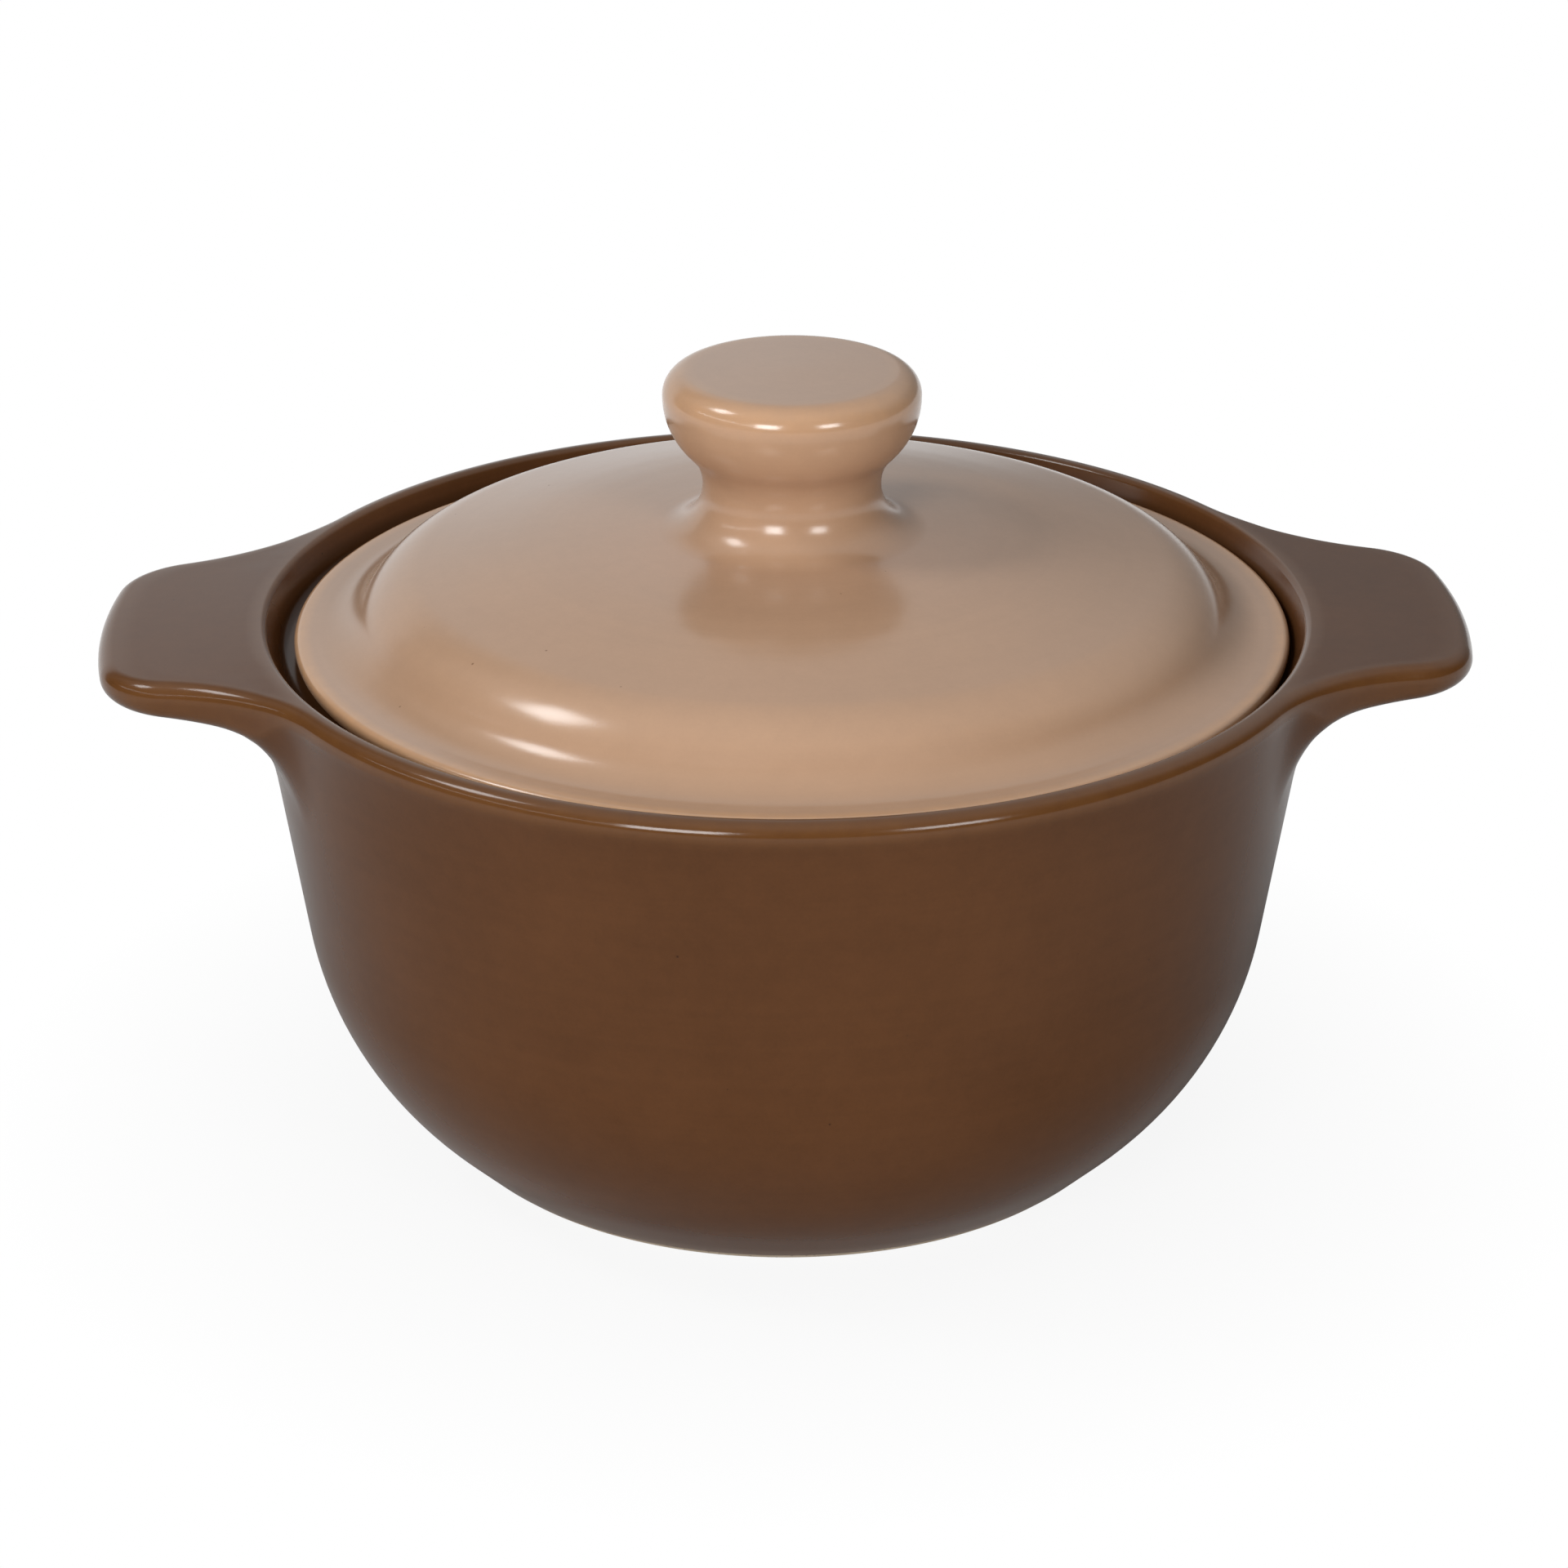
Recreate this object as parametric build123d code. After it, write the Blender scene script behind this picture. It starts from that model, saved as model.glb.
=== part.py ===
from build123d import *
import os
from math import cos, hypot, pi, radians, sin, tan

# Stoneware casserole: a footed bowl with two lug handles and a loose domed lid with a knob.
# Millimetres and degrees, +Z up. The foot stands on z = 0 and Z is the turning axis.
# The handles point along X.

# Foot ring, left bare of glaze where it stands
foot_radius = 70.0
foot_height = 3.0
foot_width = 9.0
foot_edge_round = 0.8
foot_inner_lean = 35.0

# Bowl: a flared base that turns into a nearly upright wall
pot_height = 111.2
base_flare = 46.0
belly_corner_height = 24.0
belly_round = 68.0
wall_lean = 8.8
wall_thickness = 6.3
floor_thickness = 6.5
floor_corner_round = 10.0

# Rim: a rolled lip outside, and inside it a sunk ledge that carries the lid
lip_overhang = 0.7
lip_band_height = 6.2
lip_swell_height = 3.0
lip_swell_round = 4.0
lip_round = 2.7
rim_width = 4.4
throat_edge_round = 2.3
throat_lean = 20.0
gallery_depth = 7.0
gallery_corner_round = 1.0
ledge_width = 8.6
ledge_thickness = 2.8
ledge_edge_round = 1.0
corbel_lean = 45.0
corbel_round = 4.0

# Lug handles
handle_reach = 29.9
handle_tip_width = 62.0
handle_side_taper = 13.7
handle_corner_round = 17.5
handle_tip_bow = 6.0
handle_flare_angle = 37.0
handle_flare_round = 55.0
handle_step = 0.3
handle_droop = 3.2
handle_tip_thickness = 6.8
handle_underside_slope = 3.6
handle_web_depth = 24.0
handle_web_lean = 30.0
handle_web_round = 12.0
handle_edge_round = 3.1
handle_draft = 10.0
handle_joint_gap = 0.05

# Lid: a flat flange that lies in the gallery and a dome with a rounded shoulder
lid_play = 1.8
lid_side_gap = 0.15
flange_thickness = 4.3
flange_edge_round = 1.6
flange_width = 12.15
flange_fillet = 11.0
shoulder_height = 11.3
shoulder_slope = 57.0
shoulder_round = 20.0
crown_slope = 12.6
crown_radius = 51.0
crown_round = 150.0
crown_tilt = 4.0
lid_wall = 5.5
lid_mouth_round = 2.0

# Knob, set in a shallow recess in the crown of the lid
knob_foot_radius = 27.5
knob_recess_depth = 1.2
knob_recess_gap = 0.1
knob_height = 33.6
knob_neck_radius = 17.9
knob_neck_fillet = 9.2
knob_cap_radius = 25.8
knob_cap_depth = 11.8
knob_undercut_lean = 44.0
knob_undercut_round = 9.0
knob_shoulder_round = 16.5
knob_top_round = 5.2

# Share of a side that its roundings may take, and the distance at which points count as touching
ROUNDING_ROOM = 0.98
TOUCHING = 0.01


def crossing(start, start_lean, end, end_lean):
    """Meet two slanted lines of a section, each a point and its lean from upright in degrees."""
    rise = end[0] - start[0] + (start[1] - end[1]) * tan(radians(end_lean))
    rise /= tan(radians(start_lean)) - tan(radians(end_lean))
    return start[0] + rise * tan(radians(start_lean)), start[1] + rise


def turn_at(before, corner, after):
    """Angle in radians by which an outline changes direction at a corner."""
    ax, ay = corner[0] - before[0], corner[1] - before[1]
    bx, by = after[0] - corner[0], after[1] - corner[1]
    return Vector(ax, ay).get_angle(Vector(bx, by)) * pi / 180


def rounded_outline(corners):
    """Close an outline of (x, y, rounding) corners, each rounding limited by the sides beside it."""
    count = len(corners)
    reach = []
    for i, corner in enumerate(corners):
        turn = turn_at(corners[i - 1], corner, corners[(i + 1) % count])
        reach.append(corner[2] * tan(turn / 2))
    share = [1.0] * count
    for i, corner in enumerate(corners):
        j = (i + 1) % count
        room = ROUNDING_ROOM * hypot(corners[j][0] - corner[0], corners[j][1] - corner[1])
        if reach[i] + reach[j] > room:
            limit = room / (reach[i] + reach[j])
            share[i] = min(share[i], limit)
            share[j] = min(share[j], limit)
    points = [(corner[0], corner[1]) for corner in corners]
    roundings = [corner[2] * part for corner, part in zip(corners, share)]
    return FilletPolyline(*points, radius=roundings, close=True)


def turned(corners):
    """Turn a section of (radius, height, rounding) corners about the Z axis."""
    return revolve(Plane.XZ * make_face(rounded_outline(corners)), Axis.Z)


# Bowl outside, from the foot up to the crown of the lip
base_radius = foot_radius + foot_height * tan(radians(base_flare))
belly_radius = foot_radius + belly_corner_height * tan(radians(base_flare))


def wall_radius(height):
    """Outer radius of the straight upper wall at a height."""
    return belly_radius + (height - belly_corner_height) * tan(radians(wall_lean))


lip_radius = wall_radius(pot_height) + lip_overhang
lip_foot = pot_height - lip_band_height
bowl_outside = [
    (base_radius, foot_height, 0),
    (belly_radius, belly_corner_height, belly_round),
    (wall_radius(lip_foot), lip_foot, lip_swell_round),
    (lip_radius, lip_foot + lip_swell_height, lip_swell_round),
    (lip_radius, pot_height, lip_round),
]

# Bowl inside, from the rim down the gallery to the floor
ledge_height = pot_height - gallery_depth
throat_top_radius = lip_radius - rim_width
throat_radius = throat_top_radius - gallery_depth * tan(radians(throat_lean))
ledge_radius = throat_radius - ledge_width
floor_height = foot_height + floor_thickness
inner_wall = (belly_radius - wall_thickness / cos(radians(wall_lean)), belly_corner_height)
inner_base = (belly_radius - wall_thickness / cos(radians(base_flare)), belly_corner_height)
corbel_top = (ledge_radius, ledge_height - ledge_thickness)
corbel_foot = crossing(corbel_top, -corbel_lean, inner_wall, wall_lean)
inner_belly = crossing(inner_base, base_flare, inner_wall, wall_lean)
inner_floor_radius = inner_base[0] + (floor_height - inner_base[1]) * tan(radians(base_flare))
bowl_inside = [
    (throat_top_radius, pot_height, throat_edge_round),
    (throat_radius, ledge_height, gallery_corner_round),
    (ledge_radius, ledge_height, ledge_edge_round),
    (*corbel_top, ledge_edge_round),
    (*corbel_foot, corbel_round),
    (*inner_belly, belly_round - wall_thickness),
    (inner_floor_radius, floor_height, floor_corner_round),
    (0, floor_height, 0),
]
bowl_axis = (0, foot_height, 0)
pot_body = turned([bowl_axis] + bowl_outside + bowl_inside)

# Space that the handles are cut back from: the bowl, its mouth and a hairline for the joining slip
above_mouth = pot_height + handle_reach
handle_clear_of = turned(
    [bowl_axis]
    + [(radius + handle_joint_gap, height, rounding) for radius, height, rounding in bowl_outside]
    + [(throat_top_radius, pot_height, 0), (throat_top_radius, above_mouth, 0), (0, above_mouth, 0)]
)

# Foot ring
foot_inner_radius = foot_radius - foot_width
foot_ring = turned([
    (foot_radius, 0, foot_edge_round),
    (base_radius, foot_height, 0),
    (foot_inner_radius - foot_height * tan(radians(foot_inner_lean)), foot_height, 0),
    (foot_inner_radius, 0, foot_edge_round),
])

# Handles, luted to the wall under the lip, with tops that run on from the crown
tip_radius = lip_radius + handle_reach


def handle_walls():
    """Side walls of a handle along +X: flared at the bowl, round at the tip, drawn in downwards."""
    flare = radians(handle_flare_angle)
    bow = radians(handle_tip_bow)
    root_half = handle_tip_width / 2 + (tip_radius - throat_top_radius) * tan(radians(handle_side_taper))
    root = (throat_top_radius, root_half)
    tip_middle = (tip_radius / cos(bow), 0)
    tip_corner = crossing(tip_middle, -handle_tip_bow, root, handle_side_taper - 90)
    half = [
        (throat_top_radius * cos(flare), throat_top_radius * sin(flare), 0),
        (*root, handle_flare_round),
        (*tip_corner, handle_corner_round),
    ]
    other_half = [(x, -y, rounding) for x, y, rounding in reversed(half)]
    plan = make_face(rounded_outline(half + [(*tip_middle, tip_radius)] + other_half))
    return extrude(Pos(0, 0, pot_height) * plan, 2 * handle_web_depth, (0, 0, -1), taper=handle_draft)


def handle_section():
    """Drooping top and underside of a handle, carried on past its tip and into the wall."""
    top_height = pot_height - handle_step
    droop = tan(radians(handle_droop))
    tip_top = top_height - handle_reach * droop
    tip_underside = (tip_radius, tip_top - handle_tip_thickness)
    web_foot_height = pot_height - handle_web_depth
    web_foot = (wall_radius(web_foot_height), web_foot_height)
    web_top = crossing(tip_underside, 90 - handle_underside_slope, web_foot, handle_web_lean)
    beyond = tip_radius + handle_reach
    beyond_underside = tip_underside[1] + handle_reach * tan(radians(handle_underside_slope))
    buried = web_foot[0] - wall_thickness
    buried_web = web_foot_height - wall_thickness / tan(radians(handle_web_lean))
    return turned([
        (buried, top_height + (lip_radius - buried) * droop, 0),
        (buried, buried_web, 0),
        (*web_top, handle_web_round),
        (beyond, beyond_underside, 0),
        (beyond, tip_top - handle_reach * droop, 0),
    ])


def lug_handle():
    """A handle that points along +X, its edges rounded and its root cut to the bowl."""
    walls = handle_walls()
    section = handle_section()
    blank = walls & section
    surfaces = walls.shells() + section.shells()

    def is_outline(edge):
        middle = edge @ 0.5
        if handle_clear_of.is_inside(middle):
            return False
        return all(surface.distance_to(middle) < TOUCHING for surface in surfaces)

    edge_round = min(handle_edge_round, ROUNDING_ROOM * handle_tip_thickness / 2)
    return fillet(blank.edges().filter_by(is_outline), edge_round) - handle_clear_of


right_handle = lug_handle()
left_handle = mirror(right_handle, Plane.YZ)

# Lid: it lies on the ledge, to one side of the gallery as far as its least gap allows
lid_radius = throat_radius - lid_play
lid_shift = lid_play - lid_side_gap
flange_top = ledge_height + flange_thickness
dome_foot = (lid_radius - flange_width, flange_top)
shoulder = (
    dome_foot[0] - shoulder_height / tan(radians(shoulder_slope)),
    flange_top + shoulder_height,
)
crown = (crown_radius, shoulder[1] + (shoulder[0] - crown_radius) * tan(radians(crown_slope)))
crown_height = crown[1] + (crown_radius - knob_foot_radius) * tan(radians(crown_tilt))


def below(point, slope):
    """The point straight below one on the dome, on the underside of a stretch with that slope."""
    return point[0], point[1] - lid_wall / cos(radians(slope))


inner_shoulder = crossing(
    below(shoulder, shoulder_slope), shoulder_slope - 90,
    below(shoulder, crown_slope), crown_slope - 90,
)
inner_crown = crossing(
    below(crown, crown_slope), crown_slope - 90,
    below(crown, crown_tilt), crown_tilt - 90,
)
mouth_radius = inner_shoulder[0] + (inner_shoulder[1] - ledge_height) / tan(radians(shoulder_slope))
knob_seat_height = crown_height - knob_recess_depth
lid_dome = Pos(lid_shift, 0, 0) * turned([
    (0, knob_seat_height, 0),
    (knob_foot_radius, knob_seat_height, 0),
    (knob_foot_radius, crown_height, 0),
    (*crown, crown_round),
    (*shoulder, shoulder_round),
    (*dome_foot, flange_fillet),
    (lid_radius, flange_top, flange_edge_round),
    (lid_radius, ledge_height, flange_edge_round),
    (mouth_radius, ledge_height, lid_mouth_round),
    (*inner_shoulder, shoulder_round - lid_wall),
    (*inner_crown, crown_round - lid_wall),
    (0, inner_crown[1] + inner_crown[0] * tan(radians(crown_tilt)), 0),
])

# Knob: a waisted grip with a flat bare top
knob_top = crown_height + knob_height
cap_foot = knob_top - knob_cap_depth
neck_top = cap_foot - (knob_cap_radius - knob_neck_radius) / tan(radians(knob_undercut_lean))
knob_foot_edge = knob_foot_radius - knob_recess_gap
lid_knob = Pos(lid_shift, 0, 0) * turned([
    (0, knob_seat_height, 0),
    (knob_foot_edge, knob_seat_height, 0),
    (knob_foot_edge, crown_height, 0),
    (knob_neck_radius, crown_height, knob_neck_fillet),
    (knob_neck_radius, neck_top, knob_undercut_round),
    (knob_cap_radius, cap_foot, knob_shoulder_round),
    (knob_cap_radius, knob_top, knob_top_round),
    (0, knob_top, 0),
])

NODES = {
    "pot_body": pot_body,
    "foot_ring": foot_ring,
    "left_handle": left_handle,
    "right_handle": right_handle,
    "lid_dome": lid_dome,
    "lid_knob": lid_knob,
}
os.makedirs("parts", exist_ok=True)
for name, shape in NODES.items():
    export_step(shape, f"parts/{name}.step")
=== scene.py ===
import logging
import math
from collections.abc import Sequence
from dataclasses import dataclass
from enum import Enum
from typing import NamedTuple

import bmesh
import bpy
import numpy as np
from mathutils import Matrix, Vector


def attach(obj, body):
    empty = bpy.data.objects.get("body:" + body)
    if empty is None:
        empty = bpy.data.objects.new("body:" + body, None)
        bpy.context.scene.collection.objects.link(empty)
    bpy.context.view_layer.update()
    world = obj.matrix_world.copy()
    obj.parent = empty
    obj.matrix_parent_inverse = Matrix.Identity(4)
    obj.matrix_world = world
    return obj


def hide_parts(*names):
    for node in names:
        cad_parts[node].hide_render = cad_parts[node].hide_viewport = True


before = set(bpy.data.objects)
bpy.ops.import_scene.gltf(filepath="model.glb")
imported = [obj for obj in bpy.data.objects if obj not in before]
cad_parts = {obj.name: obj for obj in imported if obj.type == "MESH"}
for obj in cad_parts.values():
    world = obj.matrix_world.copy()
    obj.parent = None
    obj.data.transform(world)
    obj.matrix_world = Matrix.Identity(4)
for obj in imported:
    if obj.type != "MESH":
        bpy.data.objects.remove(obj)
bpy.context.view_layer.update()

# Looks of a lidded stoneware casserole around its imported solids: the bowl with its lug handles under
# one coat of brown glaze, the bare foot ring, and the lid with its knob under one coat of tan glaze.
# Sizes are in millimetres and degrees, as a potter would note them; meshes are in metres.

log = logging.getLogger("casserole")

MM = 0.001
# Below this a length, an area or a turn counts as none
TINY = 1e-6
# Vertices that lie nearer than this many metres are joined
WELD = 0.000001
# Share of a side that the roundings at its ends may take up, and the fewest steps of a rounding
ROUNDING_ROOM = 0.98
LEAST_ARC_STEPS = 3
# Millimetres over which a turn makes an edge, and how strongly it does so
EDGE_SPREAD = 1.5
EDGE_GAIN = 3.0
WHITE = (1.0, 1.0, 1.0, 1.0)
Corner = tuple[float, float, float]
Colour = tuple[float, float, float, float]
Span = tuple[float, float]


class Body(Enum):
    """The two loose pieces that a piece can ride on."""

    POT = "pot"
    LID = "lid"


class Slot(Enum):
    """The record's finishes."""

    BROWN = "brown_glaze"
    TAN = "tan_glaze"
    CLAY = "bare_clay"


def smooth(value: np.ndarray | float) -> np.ndarray | float:
    """Ease a value from 0 to 1, flat at both ends."""
    held = np.clip(value, 0.0, 1.0)
    return held * held * (3.0 - 2.0 * held)


def blend(first: np.ndarray | float, second: np.ndarray | float, share: np.ndarray) -> np.ndarray:
    """Go from the first value to the second by a share from 0 to 1."""
    return first + (second - first) * share


def lean(degrees: float) -> float:
    """Run for each unit of rise along a line that leans from upright."""
    return math.tan(math.radians(degrees))


def crossing(
    start: Sequence[float], start_lean: float, end: Sequence[float], end_lean: float
) -> tuple[float, float]:
    """Meet two slanted lines of a section.

    Args:
        start: a point of the first line.
        start_lean: its lean from upright in degrees.
        end: a point of the second line.
        end_lean: its lean from upright in degrees.

    Returns:
        The point where they cross.
    """
    rise = end[0] - start[0] + (start[1] - end[1]) * lean(end_lean)
    rise /= lean(start_lean) - lean(end_lean)
    return start[0] + rise * lean(start_lean), start[1] + rise


def rounded_section(corners: Sequence[Corner], arc_step: float) -> np.ndarray:
    """Walk along a section with its corners rounded off.

    Args:
        corners: (radius, height, rounding) of each corner.
        arc_step: largest turn between two points of a rounding in degrees.

    Returns:
        Points (radius, height) in the order of the corners.
    """
    places = np.array([corner[:2] for corner in corners])
    runs = np.diff(places, axis=0)
    lengths = np.linalg.norm(runs, axis=1)
    ways = runs / lengths[:, None]
    turns = np.zeros(len(corners))
    turns[1:-1] = np.arctan2(
        ways[:-1, 0] * ways[1:, 1] - ways[:-1, 1] * ways[1:, 0], np.sum(ways[:-1] * ways[1:], axis=1)
    )
    roundings = np.array([corner[2] for corner in corners])
    reach = roundings * np.tan(np.abs(turns) / 2)
    share = np.ones(len(corners))
    for i, length in enumerate(lengths):
        limit = ROUNDING_ROOM * length / max(reach[i] + reach[i + 1], TINY)
        share[i : i + 2] = np.minimum(share[i : i + 2], limit)
    points = [places[0]]
    for i in range(1, len(corners) - 1):
        radius = roundings[i] * share[i]
        if radius <= 0.0 or abs(turns[i]) < TINY:
            points.append(places[i])
            continue
        start = places[i] - ways[i - 1] * reach[i] * share[i]
        side = np.array([-ways[i - 1][1], ways[i - 1][0]]) * np.sign(turns[i])
        centre = start + side * radius
        steps = max(LEAST_ARC_STEPS, math.ceil(math.degrees(abs(turns[i])) / arc_step))
        for k in range(steps + 1):
            c, s = math.cos(turns[i] * k / steps), math.sin(turns[i] * k / steps)
            arm = start - centre
            points.append(centre + np.array([c * arm[0] - s * arm[1], s * arm[0] + c * arm[1]]))
    points.append(places[-1])
    return np.array(points)


def divided(points: np.ndarray, longest: float) -> np.ndarray:
    """Split the runs of a section that are longer than a length.

    Args:
        points: (radius, height) of each point.
        longest: the most that a run may measure.

    Returns:
        The points with the new ones between them.
    """
    out = [points[0]]
    for first, second in zip(points, points[1:]):
        count = max(1, math.ceil(np.linalg.norm(second - first) / longest))
        out.extend(first + (second - first) * k / count for k in range(1, count + 1))
    return np.array(out)


def shares(count: int) -> np.ndarray:
    """Equal steps from just above 0 up to 1."""
    return np.linspace(0.0, 1.0, count + 1)[1:]


def travelled(points: np.ndarray) -> np.ndarray:
    """Distance along a line of points from its start to each of them."""
    return np.concatenate([[0.0], np.cumsum(np.linalg.norm(np.diff(points, axis=0), axis=1))])


def edge_weight(turns: np.ndarray, way: np.ndarray) -> np.ndarray:
    """Find how edged or hollow a section is at each of its points.

    Args:
        turns: the turn at each point in radians, positive on edges.
        way: distance of each point along the section in millimetres.

    Returns:
        A weight from -1 in hollows over 0 on flats to 1 on tight edges.
    """
    apart = (way[:, None] - way[None, :]) / EDGE_SPREAD
    spread = np.exp(-0.5 * apart**2) / (EDGE_SPREAD * math.sqrt(math.tau))
    return np.clip(EDGE_GAIN * spread @ turns, -1.0, 1.0)


def linked(name: str, data: bpy.types.ID) -> bpy.types.Object:
    """Add an object to the scene at the origin.

    Args:
        name: the object's name.
        data: its mesh, lamp or camera.

    Returns:
        The object.
    """
    thing = bpy.data.objects.new(name, data)
    bpy.context.scene.collection.objects.link(thing)
    return thing


def carry(mesh: bpy.types.Mesh, name: str, values: Sequence[float] | np.ndarray) -> None:
    """Store a number for each vertex of a mesh."""
    flat = np.asarray(values, dtype=np.float32).ravel()
    mesh.attributes.new(name, "FLOAT", "POINT").data.foreach_set("value", flat)


class Noise(NamedTuple):
    """Soft noise: its scale per metre, its finer layers and how strong they are."""

    scale: float
    detail: float
    roughness: float


class Board:
    """A node tree with short ways to add nodes and join them."""

    def __init__(self, tree: bpy.types.NodeTree) -> None:
        """Work on a tree.

        Args:
            tree: the node tree to fill.
        """
        self.tree = tree

    def add(self, kind: str, feeds: dict | None = None, **settings: object) -> bpy.types.Node:
        """Add a node.

        Args:
            kind: the node's type.
            feeds: what each input gets, a socket or a value, by input name or place.
            settings: the node's own properties.

        Returns:
            The new node.
        """
        node = self.tree.nodes.new(kind)
        for name, value in settings.items():
            setattr(node, name, value)
        for key, value in (feeds or {}).items():
            if isinstance(value, bpy.types.NodeSocket):
                self.tree.links.new(value, node.inputs[key])
            else:
                node.inputs[key].default_value = value
        return node

    def math(self, operation: str, first: object, second: object = 0.0) -> bpy.types.NodeSocket:
        """Work out a number from one or two others."""
        return self.add("ShaderNodeMath", {0: first, 1: second}, operation=operation).outputs[0]

    def ranged(
        self, value: object, low: float, high: float, to_low: float = 0.0, to_high: float = 1.0
    ) -> bpy.types.NodeSocket:
        """Carry a number from one range to another, held at its ends."""
        feeds = {"Value": value, "From Min": low, "From Max": high, "To Min": to_low, "To Max": to_high}
        return self.add("ShaderNodeMapRange", feeds, clamp=True).outputs["Result"]

    def total(self, *terms: object) -> bpy.types.NodeSocket:
        """Add up two or more numbers.

        Args:
            terms: the numbers, each a socket or a value.

        Returns:
            The socket of their sum.
        """
        made = terms[0]
        for term in terms[1:]:
            made = self.math("ADD", made, term)
        return made

    def scaled(self, vector: object, scale: object) -> bpy.types.NodeSocket:
        """Lengthen or shorten a vector."""
        return self.add("ShaderNodeVectorMath", {0: vector, "Scale": scale}, operation="SCALE").outputs[0]

    def attribute(self, name: str) -> bpy.types.NodeSocket:
        """Read a number that a shaded mesh carries."""
        return self.add("ShaderNodeAttribute", attribute_name=name).outputs["Fac"]

    def noise(self, place: object, kind: Noise) -> bpy.types.NodeSocket:
        """Sample soft noise at a place, about 0.5 on average."""
        feeds = {"Vector": place, "Scale": kind.scale, "Detail": kind.detail, "Roughness": kind.roughness}
        return self.add("ShaderNodeTexNoise", feeds).outputs[0]

    def mixed(self, share: object, first: object, second: object) -> bpy.types.NodeSocket:
        """Mix two colours by a share."""
        return self.add("ShaderNodeMix", {0: share, 6: first, 7: second}, data_type="RGBA").outputs[2]

    def show(self, shader: bpy.types.Node) -> None:
        """Make a shader the surface of the material."""
        self.add("ShaderNodeOutputMaterial", {"Surface": shader.outputs[0]})

    def shade(
        self, colour: object, rough: object, mirror: object, height: object, strength: float, depth: float
    ) -> None:
        """Finish a material with a bumped surface.

        Args:
            colour: its base colour.
            rough: its roughness.
            mirror: how strongly it mirrors.
            height: how high the bump stands.
            strength: how much the bump counts.
            depth: how deep the bump is in metres.
        """
        bump = self.add("ShaderNodeBump", {"Strength": strength, "Distance": depth, "Height": height})
        self.show(self.add("ShaderNodeBsdfPrincipled", {
            "Base Color": colour, "Roughness": rough,
            "Normal": bump.outputs[0], "Specular IOR Level": mirror,
        }))


def emptied(owner: bpy.types.Material | bpy.types.World) -> Board:
    """Give a material or a world an empty node tree to fill.

    Args:
        owner: the material or world.

    Returns:
        The board of its tree.
    """
    owner.use_nodes = True
    owner.node_tree.nodes.clear()
    return Board(owner.node_tree)


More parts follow.
